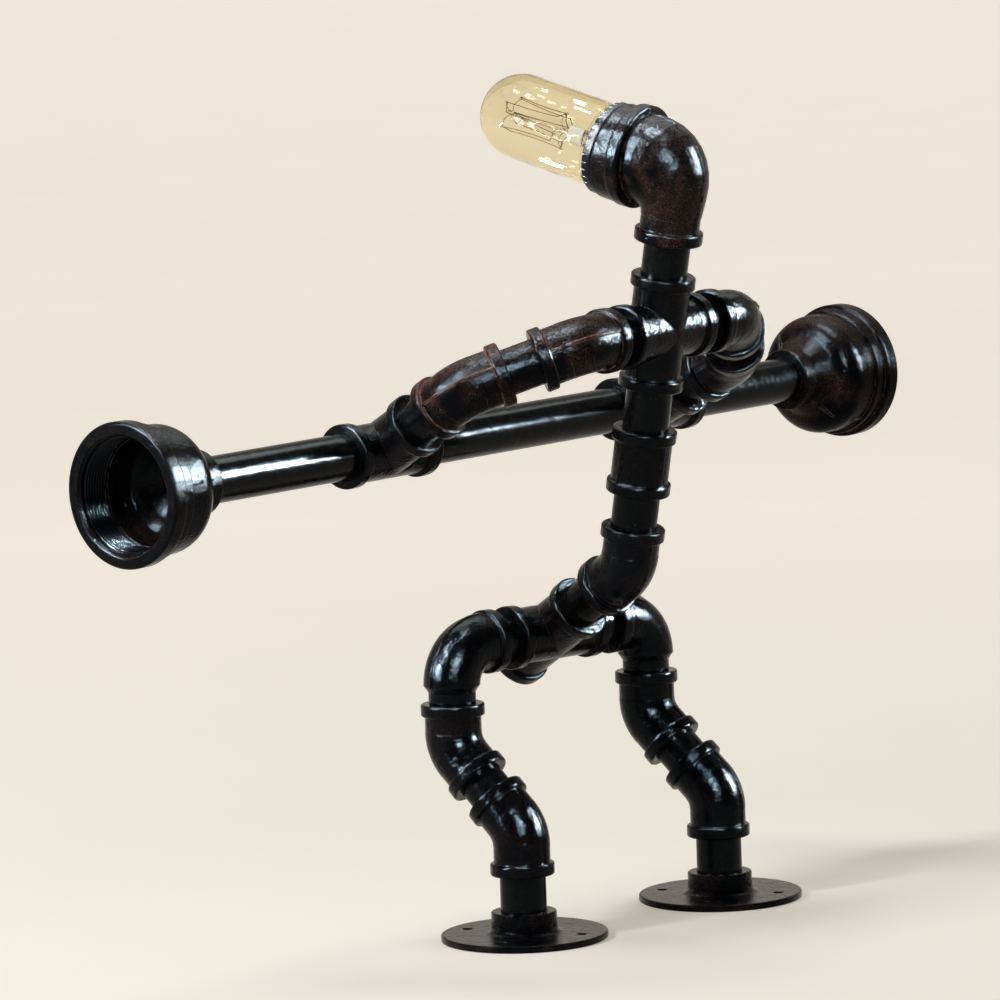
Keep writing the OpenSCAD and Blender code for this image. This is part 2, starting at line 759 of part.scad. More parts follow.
// ---------------------------------------------------------------- head
head_slices = 10;
head_sides = 48;
head_foot_r = body_r + 1;
head_mouth_r = head_body_d / 2;
// The inner corner of the bend is a fillet round this pivot, in the XZ plane
head_fillet = 3.5;
head_pivot = [head_foot_r + head_fillet, -head_mouth_r - head_fillet];
// The back of the head is one long arc round this centre
head_back = [head_arc - head_foot_r, head_mouth_r - head_arc];

// Distance from the pivot to the back of the head, along a ray turned up by an angle
function back_reach(turn) =
    let(
        ray = [-cos(turn), sin(turn)],
        to_side = (head_pivot[0] + head_foot_r) / max(0.001, cos(turn)),
        apart = head_pivot - head_back,
        b = apart * ray,
        to_arc = sqrt(max(0, b * b - apart * apart + head_arc * head_arc)) - b
    )
    (head_pivot[1] + to_side * ray[1] < head_back[1] ? to_side : to_arc) + head_bulge * sin(2 * turn);

// One ring of the head's loft, in the plane that the ray sweeps
function head_ring(turn) =
    let(
        far = back_reach(turn),
        middle = (far + head_fillet) / 2,
        half = (far - head_fillet) / 2,
        across = head_foot_r + (head_mouth_r - head_foot_r) * (1 - cos(2 * turn)) / 2
    )
    [for (k = [0 : head_sides - 1])
        let(a = 360 * k / head_sides, along = middle + half * cos(a))
        [
            head_pivot[0] - along * cos(turn), across * sin(a),
            head_pivot[1] + along * sin(turn)
        ]
    ];

// Outside of the head elbow between its two legs, widening through the bend
module head_loft() {
    n = head_sides;
    points = [for (i = [0 : head_slices]) each head_ring(90 * i / head_slices)];
    polyhedron(
        points = points,
        faces = concat(
            [[for (k = [0 : n - 1]) n - 1 - k]],
            [for (i = [0 : head_slices - 1]) for (k = [0 : n - 1])
                [i * n + k, i * n + (k + 1) % n, (i + 1) * n + (k + 1) % n]],
            [for (i = [0 : head_slices - 1]) for (k = [0 : n - 1])
                [i * n + k, (i + 1) * n + (k + 1) % n, (i + 1) * n + k]],
            [[for (k = [0 : n - 1]) head_slices * n + k]]
        )
    );
}

// Parting ridge over the back of the head, from the lower band to the band at the mouth
module head_ridge(band_from) {
    thick = ridge_w - 2 * hair;
    back = [for (i = [0 : head_slices])
        let(turn = 90 * i / head_slices, far = back_reach(turn) + ridge_h)
        [head_pivot[0] - far * cos(turn), head_pivot[1] + far * sin(turn)]];
    rotate([90, 0, 0]) linear_extrude(height = ridge_w, center = true)
        polygon(concat(back, [head_pivot + head_fillet * [-1.4, 1.4]]));
    translate([-head_foot_r - ridge_h + hair, -thick / 2, -head_reach_down + band_w / 2])
        cube([6, thick, head_reach_down - band_w / 2 + head_pivot[1] + 1]);
    translate([head_pivot[0] - 1, -thick / 2, head_mouth_r + ridge_h - hair - 6])
        cube([band_from + 2 - head_pivot[0], thick, 6]);
}

// From the head's own frame to the middle of its mouth, local +Z looking out of it
module from_mouth() {
    translate([head_reach_out, 0, 0]) rotate([0, 90 - mouth_tilt, 0]) children();
}

// Reducing elbow: small port down local -Z on the neck, wide mouth towards +X
module head_elbow() {
    bore_r = head_bore_d / 2;
    foot_from = -head_pivot[1] - 0.5;
    mouth_from = head_pivot[0] - 0.5;
    rear_r = 15.5;
    rear_room = 4.5;
    lead_room_r = 8;
    band_from = head_reach_out - mouth_ring_w - head_band_w;
    color(worn_iron) place(head, torso_dir, head_dir) difference() {
        union() {
            head_loft();
            rotate([180, 0, 0]) translate([0, 0, foot_from])
                cylinder(r = head_foot_r - 0.3, h = head_reach_down - foot_from - band_edge);
            rotate([180, 0, 0]) translate([0, 0, head_reach_down - band_w])
                band(head_foot_band_d / 2, band_w, band_edge);
            rotate([0, 90, 0]) translate([0, 0, mouth_from])
                cylinder(r = head_mouth_r - 0.3, h = band_from + 2 - mouth_from);
            rotate([0, 90, 0]) translate([0, 0, band_from])
                band(head_band_d / 2, head_band_w, 1.6);
            from_mouth() rotate([180, 0, 0]) band(mouth_ring_d / 2, mouth_ring_w + 3, 1.4);
            head_ridge(band_from);
        }
        from_mouth() translate([0, 0, -holder_front - 1]) cylinder(r = bore_r, h = holder_front + 2);
        from_mouth() translate([0, 0, -holder_len - rear_room]) cylinder(r = rear_r, h = holder_len);
        rotate([180, 0, 0]) translate([0, 0, -4]) cylinder(r = lead_room_r, h = head_reach_down);
        rotate([180, 0, 0]) translate([0, 0, 10])
            cylinder(r = waterway_r, h = head_reach_down - 10);
        rotate([180, 0, 0]) translate([0, 0, head_reach_down - port_depth])
            cylinder(r = port_r, h = port_depth + 1);
    }
}

// Collar of the lamp holder, clamped against the mouth
module collar_ring() {
    notch_count = 36;
    recess_r = bulb_d / 2 + collar_gap;
    collar_r = recess_r + collar_wall;
    color([0.05, 0.06, 0.08]) place(mouth, face_dir, torso_dir) difference() {
        rotate_extrude() difference() {
            translate([0, touch_gap / 3]) band_section(collar_r, collar_w, collar_wall / 2);
            translate([0, -1]) square([recess_r, collar_w + 3]);
        }
        for (k = [0 : notch_count - 1]) rotate(k * 360 / notch_count)
            translate([collar_r + 0.4, 0, collar_w / 2]) cylinder(r = 1, h = collar_w);
    }
}

// Where the bulb's contact sits, measured back from the mouth
contact_depth = holder_len - 5;

// Body of the lamp holder, pressed into the mouth
module lamp_holder() {
    holder_r = head_bore_d / 2 - thread_gap;
    pocket_r = shell_id / 2 + shell_wall + thread_gap;
    color([0.90, 0.88, 0.82]) place(mouth, face_dir, torso_dir) rotate([180, 0, 0]) difference() {
        union() {
            cylinder(r = holder_r, h = holder_front);
            cylinder(r = shell_id / 2 + 1.6, h = holder_len);
        }
        translate([0, 0, -1]) cylinder(r = pocket_r, h = contact_depth + 3);
        translate([0, 0, -1]) cylinder(r = bulb_d / 2 - 6, h = 4);
        for (side = [-1, 1]) translate([side * 8, 0, contact_depth])
            cylinder(r = 2, h = 10);
    }
}

// Threaded shell that the bulb's cap turns in
module holder_shell() {
    color(brass) place(mouth, face_dir, torso_dir) rotate([180, 0, 0]) difference() {
        translate([0, 0, 4]) cylinder(r = shell_id / 2 + shell_wall, h = contact_depth - 2.5);
        translate([0, 0, 3]) cylinder(r = shell_id / 2, h = contact_depth);
    }
}

// Sprung centre contact at the bottom of the holder
module holder_contact() {
    color(brass) place(mouth, face_dir, torso_dir) rotate([180, 0, 0])
        translate([0, 0, contact_depth + touch_gap]) cylinder(r = 3, h = 2 - touch_gap);
}

// Two terminal screws at the back of the holder
module holder_terminals() {
    color(brass) place(mouth, face_dir, torso_dir) rotate([180, 0, 0])
        for (side = [-1, 1]) translate([side * 8, 0, contact_depth + 2.1]) {
            cylinder(r = 1.9, h = holder_len - contact_depth);
            translate([0, 0, holder_len - contact_depth - 2]) cylinder(r = 2.8, h = 1.6);
        }
}

// Lead from the turning joint in the neck to the holder
module head_lead() {
    lead_radius = head_reach_out - holder_len * cos(mouth_tilt) - lead_d * sin(mouth_tilt) - touch_gap;
    color([0.75, 0.72, 0.65]) place(head, torso_dir, head_dir) union() {
        bend_solid(90, lead_d / 2, lead_radius, lead_radius);
        rotate([180, 0, 0]) translate([0, 0, lead_radius])
            cylinder(r = lead_d / 2 - hair, h = head_reach_down - lead_radius - touch_gap);
        rotate([180, 0, 0]) leg_root(lead_radius, lead_d / 2 - 0.5);
    }
}

// ---------------------------------------------------------------- bulb
cap_r = shell_id / 2 - cap_gap;
glass_foot = contact_depth - cap_len;
tip_z = bulb_len - contact_depth;

// Half outline of the bulb, z counted out of the mouth
module glass_section(shrink) {
    tube_r = bulb_d / 2 - shrink;
    neck_r = cap_r - 1.2 - shrink;
    dome_r = bulb_d / 2 - shrink;
    flare_z = 9;
    // straight tube up to the dome
    translate([0, flare_z]) square([tube_r, tip_z - bulb_d / 2 - flare_z]);
    intersection() {
        translate([0, tip_z - bulb_d / 2]) circle(dome_r);
        translate([0, tip_z - bulb_d / 2 - 0.5]) square([tube_r, bulb_d]);
    }
    // shoulder down to the neck in the cap
    polygon([
        [0, -glass_foot - 3], [neck_r, -glass_foot - 3], [neck_r, -glass_foot + 2],
        [neck_r + 2.5, -glass_foot + 6], [tube_r - 2.2, flare_z - 4.5 + shrink],
        [tube_r - 0.6, flare_z - 2 + shrink], [tube_r, flare_z + 0.01 + shrink],
        [tube_r, flare_z + 1 + shrink], [0, flare_z + 1 + shrink]
    ]);
}

module bulb_glass() {
    color(amber) place(mouth, face_dir, torso_dir) rotate_extrude() difference() {
        glass_section(0);
        glass_section(glass_wall);
    }
}

// Metal cap, hollow, closed at the contact end by its insulator
module bulb_cap() {
    color(brass) place(mouth, face_dir, torso_dir) difference() {
        translate([0, 0, -contact_depth + 3]) cylinder(r = cap_r, h = cap_len - 3);
        translate([0, 0, -contact_depth + 5])
            cylinder(r = cap_r - 1.2 + thread_gap, h = cap_len);
    }
}

// Insulator and tip contact at the end of the cap
module bulb_contact() {
    color([0.1, 0.1, 0.1]) place(mouth, face_dir, torso_dir) translate([0, 0, -contact_depth]) {
        translate([0, 0, 1]) cylinder(r1 = 6, r2 = cap_r - 1, h = 1.95);
        cylinder(r = 4, h = 1.2);
    }
}

stem_foot = -glass_foot + 1;
stem_h = 34;

// Glass stem that carries the lead wires
module bulb_stem() {
    color([0.9, 0.9, 0.88]) place(mouth, face_dir, torso_dir) translate([0, 0, stem_foot]) {
        cylinder(r1 = cap_r - 2.6, r2 = 4, h = 10);
        cylinder(r = 4, h = stem_h - 8);
        translate([-5.5, -1.6, stem_h - 12]) cube([11, 3.2, 10]);
        translate([0, 0, stem_h - 4]) cylinder(r = 1.2, h = 44);
    }
}

// Cage filament: strands between a lower and an upper ring round the stem
module bulb_filament() {
    cage_low = stem_foot + stem_h + 2;
    cage_h = 36;
    cage_r = 9;
    ring_w = 1.3;
    ring_h = 0.8;
    spoke_w = 1;
    hub_r = 2;
    post_r = 1.2 + thread_gap;
    color([0.30, 0.22, 0.14]) place(mouth, face_dir, torso_dir) {
        for (k = [0 : strand_count - 1]) rotate(k * 360 / strand_count)
            translate([cage_r, 0, cage_low + ring_h / 2])
                cylinder(r = strand_d / 2, h = cage_h - ring_h);
        for (z = [cage_low, cage_low + cage_h - ring_h]) translate([0, 0, z]) difference() {
            union() {
                difference() {
                    cylinder(r = cage_r + ring_w / 2, h = ring_h);
                    translate([0, 0, -1]) cylinder(r = cage_r - ring_w / 2, h = ring_h + 2);
                }
                cylinder(r = hub_r, h = ring_h);
                for (k = [0 : 1]) rotate(360 / strand_count / 2 + k * 90)
                    translate([-cage_r, -spoke_w / 2, 0.1]) cube([2 * cage_r, spoke_w, ring_h - 0.2]);
            }
            translate([0, 0, -1]) cylinder(r = post_r, h = ring_h + 2);
        }
    }
}

// ---------------------------------------------------------------- what is drawn
left_foot_flange();
right_foot_flange();
left_shin_nipple();
right_shin_nipple();
left_ankle_elbow();
right_ankle_elbow();
left_calf_nipple();
right_calf_nipple();
left_knee_elbow();
right_knee_elbow();
left_hip_elbow();
right_hip_elbow();
left_hip_nipple();
right_hip_nipple();
pelvis_cross();
cable_bush();
waist_nipple();
waist_elbow();
lower_torso_nipple();
torso_coupling();
upper_torso_nipple();
shoulder_cross();
neck_nipple();
body_lead();
left_shoulder_nipple();
left_shoulder_elbow();
left_upper_arm_nipple();
left_arm_elbow();
left_forearm_nipple();
left_hand_tee();
right_shoulder_nipple();
right_shoulder_elbow();
right_upper_arm_nipple();
right_arm_elbow();
right_forearm_nipple();
right_hand_tee();
bar_left_pipe();
bar_middle_pipe();
bar_right_pipe();
left_bell();
right_bell();
head_elbow();
collar_ring();
lamp_holder();
holder_shell();
holder_contact();
holder_terminals();
head_lead();
bulb_glass();
bulb_cap();
bulb_contact();
bulb_stem();
bulb_filament();
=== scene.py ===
import json
import math
import bpy
from mathutils import Vector, Matrix


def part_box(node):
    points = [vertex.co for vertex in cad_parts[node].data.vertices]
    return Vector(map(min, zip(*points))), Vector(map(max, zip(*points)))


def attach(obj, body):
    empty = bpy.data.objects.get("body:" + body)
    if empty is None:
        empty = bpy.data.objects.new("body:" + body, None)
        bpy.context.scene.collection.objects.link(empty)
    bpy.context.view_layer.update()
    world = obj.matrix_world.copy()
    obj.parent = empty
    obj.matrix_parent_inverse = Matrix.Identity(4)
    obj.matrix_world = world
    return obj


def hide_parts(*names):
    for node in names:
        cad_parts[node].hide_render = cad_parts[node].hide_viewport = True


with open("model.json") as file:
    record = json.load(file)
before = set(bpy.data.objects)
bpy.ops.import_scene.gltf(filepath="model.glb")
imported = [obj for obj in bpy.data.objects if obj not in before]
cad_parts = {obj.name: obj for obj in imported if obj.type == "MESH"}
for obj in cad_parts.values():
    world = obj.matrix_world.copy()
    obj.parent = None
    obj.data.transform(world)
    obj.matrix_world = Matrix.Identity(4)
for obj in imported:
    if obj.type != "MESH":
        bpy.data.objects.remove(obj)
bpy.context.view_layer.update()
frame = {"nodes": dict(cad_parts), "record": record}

# ------------------------------------------------------------------ camera
VIEW_AZIMUTH = math.radians(137.415)
VIEW_ELEVATION = math.radians(6.819)
VIEW_ROLL = math.radians(-2.004)
VIEW_DISTANCE = 3.88195                # metres from AIM
VIEW_RIGHT = -0.05683                  # the camera's shift off the line to AIM, metres
VIEW_UP = -0.00141
LENS_PX = 6676.39                      # focal length in pixels of the photograph
FRAME_PX = 1000
SENSOR_MM = 36.0
CLIP_END = 50
AIM = Vector((0.01143, 0.00156, 0.24992))

back = Vector((math.sin(VIEW_AZIMUTH) * math.cos(VIEW_ELEVATION),
               -math.cos(VIEW_AZIMUTH) * math.cos(VIEW_ELEVATION), math.sin(VIEW_ELEVATION)))
flat_right = Vector((math.cos(VIEW_AZIMUTH), math.sin(VIEW_AZIMUTH), 0.0))
flat_up = back.cross(flat_right)
right = flat_right * math.cos(VIEW_ROLL) + flat_up * math.sin(VIEW_ROLL)
up = flat_up * math.cos(VIEW_ROLL) - flat_right * math.sin(VIEW_ROLL)
place = AIM + back * VIEW_DISTANCE + right * VIEW_RIGHT + up * VIEW_UP

cam_data = bpy.data.cameras.new("photo_camera")
cam_data.sensor_width = SENSOR_MM
cam_data.lens = LENS_PX / FRAME_PX * SENSOR_MM
cam_data.clip_end = CLIP_END
camera = bpy.data.objects.new("photo_camera", cam_data)
bpy.context.scene.collection.objects.link(camera)
camera.matrix_world = Matrix((
    (right.x, up.x, back.x, place.x),
    (right.y, up.y, back.y, place.y),
    (right.z, up.z, back.z, place.z),
    (0, 0, 0, 1)))
bpy.context.scene.camera = camera
bpy.context.scene.view_settings.view_transform = "Standard"


# ------------------------------------------------------------------ node helpers
def new_material(name):
    """A material with one Principled shader, its node tree and that shader"""
    mat = bpy.data.materials.new(name)
    mat.use_nodes = True
    nt = mat.node_tree
    nt.nodes.clear()
    out = nt.nodes.new("ShaderNodeOutputMaterial")
    bsdf = nt.nodes.new("ShaderNodeBsdfPrincipled")
    nt.links.new(bsdf.outputs["BSDF"], out.inputs["Surface"])
    return mat, nt, bsdf


def coords(nt):
    """Places on the object, in metres"""
    return nt.nodes.new("ShaderNodeTexCoord").outputs["Object"]


def noise_tex(nt, vector, scale, detail=3.0, rough=0.5, distortion=0.0):
    n = nt.nodes.new("ShaderNodeTexNoise")
    n.inputs["Scale"].default_value = scale
    n.inputs["Detail"].default_value = detail
    n.inputs["Roughness"].default_value = rough
    n.inputs["Distortion"].default_value = distortion
    nt.links.new(vector, n.inputs["Vector"])
    return n.outputs["Fac"]


def voronoi_tex(nt, vector, scale):
    """Distance to the nearest of scattered points"""
    n = nt.nodes.new("ShaderNodeTexVoronoi")
    n.inputs["Scale"].default_value = scale
    nt.links.new(vector, n.inputs["Vector"])
    return n.outputs["Distance"]


def ramp(nt, fac, stops):
    """stops: (position, grey or colour)"""
    r = nt.nodes.new("ShaderNodeValToRGB")
    els = r.color_ramp.elements
    while len(els) > len(stops):
        els.remove(els[-1])
    while len(els) < len(stops):
        els.new(0.5)
    for el, (pos, col) in zip(els, stops):
        el.position = pos
        el.color = col + (1,) if isinstance(col, tuple) else (col, col, col, 1)
    nt.links.new(fac, r.inputs["Fac"])
    return r.outputs["Color"]


def math_node(nt, op, a, b, c=0.0):
    m = nt.nodes.new("ShaderNodeMath")
    m.operation = op
    for i, v in enumerate((a, b, c)):
        if isinstance(v, (int, float)):
            m.inputs[i].default_value = v
        else:
            nt.links.new(v, m.inputs[i])
    return m.outputs[0]


MIX_FACTOR, MIX_A, MIX_B, MIX_RESULT = 0, 6, 7, 2      # a Mix node's sockets for colours


def mix_color(nt, fac, a, b):
    """fac is a socket; a and b are colours or sockets"""
    m = nt.nodes.new("ShaderNodeMix")
    m.data_type = "RGBA"
    nt.links.new(fac, m.inputs[MIX_FACTOR])
    for index, v in ((MIX_A, a), (MIX_B, b)):
        if isinstance(v, tuple):
            m.inputs[index].default_value = v + (1,)
        else:
            nt.links.new(v, m.inputs[index])
    return m.outputs[MIX_RESULT]


def times(color, factor):
    return tuple(min(1.0, c * factor) for c in color)


def mottled(nt, pattern, low, high, a, b):
    """Colour a where the pattern is under low, b where it is over high"""
    return mix_color(nt, ramp(nt, pattern, [(low, 0.0), (high, 1.0)]), a, b)


def bump(nt, bsdf, layers, normal=None):
    """layers: (height socket, distance in metres, strength); chained from first to last"""
    for height, distance, strength in layers:
        b = nt.nodes.new("ShaderNodeBump")
        b.inputs["Distance"].default_value = distance
        b.inputs["Strength"].default_value = strength
        nt.links.new(height, b.inputs["Height"])
        if normal is not None:
            nt.links.new(normal, b.inputs["Normal"])
        normal = b.outputs["Normal"]
    nt.links.new(normal, bsdf.inputs["Normal"])


BEVEL_SAMPLES = 6


def soft_edges(nt, radius, low, high):
    """The normal rounded over sharp edges, and a mask that is white where it turns most"""
    bev = nt.nodes.new("ShaderNodeBevel")
    bev.samples = BEVEL_SAMPLES
    bev.inputs["Radius"].default_value = radius
    geo = nt.nodes.new("ShaderNodeNewGeometry")
    dot = nt.nodes.new("ShaderNodeVectorMath")
    dot.operation = "DOT_PRODUCT"
    nt.links.new(bev.outputs["Normal"], dot.inputs[0])
    nt.links.new(geo.outputs["Normal"], dot.inputs[1])
    return bev.outputs["Normal"], ramp(nt, dot.outputs["Value"], [(low, 1.0), (high, 0.0)])


def turned_up(nt, low, high):
    """White where the surface faces the sky"""
    geo = nt.nodes.new("ShaderNodeNewGeometry")
    split = nt.nodes.new("ShaderNodeSeparateXYZ")
    nt.links.new(geo.outputs["Normal"], split.inputs[0])
    height = math_node(nt, "MULTIPLY_ADD", split.outputs["Z"], 0.5, 0.5)
    return ramp(nt, height, [(0.5 + low / 2, 0.0), (0.5 + high / 2, 1.0)])


# ------------------------------------------------------------------ materials
SHINE = 0.065                          # "Specular IOR Level" of the lacquer
# painted reflection colour: every reflection on the lacquer is tinted blue, standing in for bluish daylight
PAINTED_BLUE_REFLECTION_TINT = (0.70, 0.86, 1.0, 1.0)
LACQUER_IOR = 1.5
EDGE_RADIUS = 0.0014                   # how far the lacquer rounds an edge
BARE_RADIUS = 0.0036                   # how far from an edge the copper colour reaches


def lacquer(bsdf, shine):
    bsdf.inputs["IOR"].default_value = LACQUER_IOR
    bsdf.inputs["Specular IOR Level"].default_value = shine
    # painted reflection colour: tints the lacquer's reflections blue
    bsdf.inputs["Specular Tint"].default_value = PAINTED_BLUE_REFLECTION_TINT


def iron(name, lump, grain, wear, rust, top=0.0, dull=0.26, speck=1.0, copper=None, shine=SHINE,
         black=(0.0022, 0.0024, 0.0034), gloss=0.085, rust_tint=(0.050, 0.019, 0.014), wear_tint=(0.20, 0.13, 0.11)):
    """Black lacquer over cast iron.

    lump and grain are depths in metres. wear and rust (0..1) show what is under the lacquer on edges and in
    patches, top (0..1) adds patches on the upper side, dull is their roughness and speck how fine they are.
    copper is the colour of upper edges that are rubbed bare."""
    mat, nt, bsdf = new_material(name)
    vec = coords(nt)
    broad = noise_tex(nt, vec, 42, 4, 0.6, 0.4)
    mid = noise_tex(nt, vec, 190, 4, 0.62, 0.3)
    small = noise_tex(nt, vec, 480, 3, 0.6)
    fine = noise_tex(nt, vec, 1100, 5, 0.7)
    speckle = noise_tex(nt, vec, 900 * speck, 4, 0.65)
    spots = voronoi_tex(nt, vec, 520)
    rounded, edges = soft_edges(nt, EDGE_RADIUS, 0.76, 0.92)
    # rubbed-through areas: broad fields broken up into specks by the finer grain
    field = ramp(nt, broad, [(0.46, 0.0), (0.62, rust)])
    if top > 0:
        field = math_node(nt, "MAXIMUM", field, math_node(nt, "MULTIPLY", turned_up(nt, 0.25, 0.75), top))
    specks = ramp(nt, speckle, [(0.42, 0.0), (0.56, 1.0)])
    patch = math_node(nt, "MULTIPLY", field, specks)
    edge = math_node(nt, "MULTIPLY", edges, ramp(nt, mid, [(0.40, 0.0), (0.54, wear)]))
    tint = mottled(nt, small, 0.35, 0.7, rust_tint, times(rust_tint, 2.2))
    base = mottled(nt, mid, 0.3, 0.75, black, times(black, 1.8))
    col = mix_color(nt, patch, base, tint)
    if copper:
        broad_edges = soft_edges(nt, BARE_RADIUS, 0.88, 0.985)[1]
        bare = math_node(nt, "MULTIPLY", broad_edges, turned_up(nt, 0.05, 0.5))
        bare = math_node(nt, "MULTIPLY", bare, ramp(nt, small, [(0.36, 0.25), (0.56, 1.0)]))
        col = mix_color(nt, bare, col, copper)
    col = mix_color(nt, edge, col, wear_tint)
    nt.links.new(col, bsdf.inputs["Base Color"])
    rough = ramp(nt, mid, [(0.25, gloss * 0.75), (0.75, gloss * 1.6)])
    rough = mix_color(nt, patch, rough, (dull, dull, dull))
    nt.links.new(rough, bsdf.inputs["Roughness"])
    lacquer(bsdf, shine)
    lumps = math_node(nt, "ADD", math_node(nt, "MULTIPLY", broad, 0.5), math_node(nt, "MULTIPLY", mid, 0.6))
    pits = ramp(nt, spots, [(0.0, 0.0), (0.35, 1.0)])
    bump(nt, bsdf, [(lumps, lump, 0.75), (small, grain * 1.3, 0.7), (pits, grain * 0.4, 0.3),
                    (fine, grain * 0.35, 0.5)], rounded)
    return mat


def pipe_iron(name):
    """Smooth drawn pipe under black lacquer, with small rusty specks"""
    mat, nt, bsdf = new_material(name)
    vec = coords(nt)
    broad = noise_tex(nt, vec, 30, 3, 0.55)
    mid = noise_tex(nt, vec, 210, 4, 0.65)
    fine = noise_tex(nt, vec, 1300, 4, 0.7)
    base = mottled(nt, broad, 0.3, 0.7, (0.0025, 0.0025, 0.0032), (0.006, 0.0058, 0.0055))
    specks = math_node(nt, "MULTIPLY", ramp(nt, fine, [(0.56, 0.0), (0.68, 1.0)]),
                       ramp(nt, mid, [(0.48, 0.0), (0.62, 0.8)]))
    nt.links.new(mix_color(nt, specks, base, (0.085, 0.045, 0.032)), bsdf.inputs["Base Color"])
    nt.links.new(ramp(nt, mid, [(0.3, 0.10), (0.75, 0.24)]), bsdf.inputs["Roughness"])
    lacquer(bsdf, SHINE)
    bump(nt, bsdf, [(broad, 0.0006, 0.8), (mid, 0.00016, 0.7), (fine, 0.00005, 0.5)])
    return mat


def plastic(name, color, rough, grain, shine=0.4):
    """Moulded plastic with a fine grain; grain is a depth in metres"""
    mat, nt, bsdf = new_material(name)
    vec = coords(nt)
    mid = noise_tex(nt, vec, 300, 4, 0.6)
    fine = noise_tex(nt, vec, 1500, 4, 0.7)
    nt.links.new(mottled(nt, mid, 0.3, 0.7, times(color, 0.8), times(color, 1.25)), bsdf.inputs["Base Color"])
    nt.links.new(ramp(nt, mid, [(0.3, rough * 0.8), (0.7, rough * 1.25)]), bsdf.inputs["Roughness"])
    bsdf.inputs["Specular IOR Level"].default_value = shine
    bump(nt, bsdf, [(fine, grain, 0.6)])
    return mat


def metal(name, color, rough, grain):
    """Bare metal, slightly tarnished"""
    mat, nt, bsdf = new_material(name)
    vec = coords(nt)
    mid = noise_tex(nt, vec, 260, 4, 0.6)
    fine = noise_tex(nt, vec, 1400, 4, 0.7)
    nt.links.new(mottled(nt, mid, 0.3, 0.7, times(color, 0.72), color), bsdf.inputs["Base Color"])
    nt.links.new(ramp(nt, mid, [(0.3, rough * 0.75), (0.7, rough * 1.4)]), bsdf.inputs["Roughness"])
    bsdf.inputs["Metallic"].default_value = 1.0
    bump(nt, bsdf, [(fine, grain, 0.5)])
    return mat


GLASS_IOR = 1.45
EDGE_DEPTH = 2.6                       # how many times the glass colour counts where the wall is seen edge on


def glass(name, color, rough, streak):
    """Blown glass: faint waves, a trace of dust, and deeper colour where it is seen edge on"""
    mat, nt, bsdf = new_material(name)
    vec = coords(nt)
    wave = noise_tex(nt, vec, 35, 2, 0.4)
    dust = noise_tex(nt, vec, 900, 4, 0.7)
    edge = nt.nodes.new("ShaderNodeLayerWeight")
    edge.inputs["Blend"].default_value = 0.35
    tint = mottled(nt, wave, 0.3, 0.7, times(color, 0.95), color)
    thick = ramp(nt, edge.outputs["Facing"], [(0.25, 0.0), (0.85, 1.0)])
    nt.links.new(mix_color(nt, thick, tint, tuple(c ** EDGE_DEPTH for c in color)), bsdf.inputs["Base Color"])
    nt.links.new(ramp(nt, dust, [(0.5, rough), (0.8, rough + 0.06)]), bsdf.inputs["Roughness"])
    bsdf.inputs["Transmission Weight"].default_value = 1.0
    bsdf.inputs["IOR"].default_value = GLASS_IOR
    bump(nt, bsdf, [(wave, streak, 0.5)])
    return mat


M = {
    "fitting": iron("fitting_iron", 0.0011, 0.00022, 0.35, 0.18),
    "arm": iron("arm_iron", 0.0012, 0.00028, 1.0, 0.60, top=1.0, dull=0.46, shine=0.036,
                rust_tint=(0.060, 0.026, 0.018), wear_tint=(0.64, 0.31, 0.20), copper=(0.30, 0.095, 0.055)),
    "flange": iron("flange_iron", 0.0010, 0.00036, 0.9, 0.5, rust_tint=(0.050, 0.030, 0.026)),
    "head": iron("head_iron", 0.0008, 0.00030, 0.9, 0.85, top=0.8, dull=0.32, shine=0.055, speck=1.3,
                 rust_tint=(0.050, 0.024, 0.018), wear_tint=(0.32, 0.25, 0.23)),
    "bell": iron("bell_iron", 0.0008, 0.00034, 0.7, 0.20, top=0.35, shine=0.045,
                 rust_tint=(0.040, 0.020, 0.014), wear_tint=(0.22, 0.17, 0.17)),
    "far_bell": iron("far_bell_iron", 0.0006, 0.00026, 0.8, 0.7, top=0.9, dull=0.40, speck=1.3, shine=0.022,
                     rust_tint=(0.040, 0.018, 0.013), wear_tint=(0.26, 0.19, 0.18)),
    "thread": iron("thread_iron", 0.0004, 0.00010, 0.0, 0.0, shine=0.13, gloss=0.10, black=(0.003, 0.0045, 0.007)),
    "pipe": pipe_iron("pipe_iron"),
    "collar": plastic("collar_black", (0.006, 0.010, 0.022), 0.20, 0.0002, shine=0.10),
    "black": plastic("black_plastic", (0.02, 0.02, 0.02), 0.4, 0.0001, shine=0.10),
    "holder": plastic("holder_plastic", (0.70, 0.68, 0.60), 0.45, 0.0001),
    "lead": plastic("lead_plastic", (0.55, 0.50, 0.42), 0.5, 0.0001),
    "brass": metal("cap_brass", (0.80, 0.62, 0.30), 0.25, 0.0001),
    "wire": metal("support_wire", (0.46, 0.33, 0.20), 0.30, 0.0001),
    "filament": metal("filament_metal", (0.34, 0.17, 0.07), 0.45, 0.0001),
    "amber": glass("amber_glass", (0.99, 0.93, 0.76), 0.005, 0.0006),
    "clear": glass("clear_glass", (0.93, 0.93, 0.90), 0.02, 0.0003),
}

SLOTS = {"fitting_iron": "fitting", "pipe_iron": "pipe", "head_iron": "head", "bell_iron": "bell",
         "flange_iron": "flange", "collar": "collar", "black_plastic": "black", "holder_plastic": "holder",
         "brass": "brass", "lead": "lead", "amber_glass": "amber", "clear_glass": "clear", "filament": "filament"}
OF_THEIR_OWN = {"left_shoulder_elbow": "arm", "left_arm_elbow": "arm", "left_upper_arm_nipple": "arm",
                "right_bell": "far_bell"}
record = frame["record"]
slot_of = {s["node"]: s["material_slot"] for s in record["subparts"]}
for node_name, obj in frame["nodes"].items():
    material = M[OF_THEIR_OWN.get(node_name, SLOTS[slot_of[node_name]])]
    if not obj.material_slots:
        obj.data.materials.append(material)
    for material_slot in obj.material_slots:
        material_slot.material = material


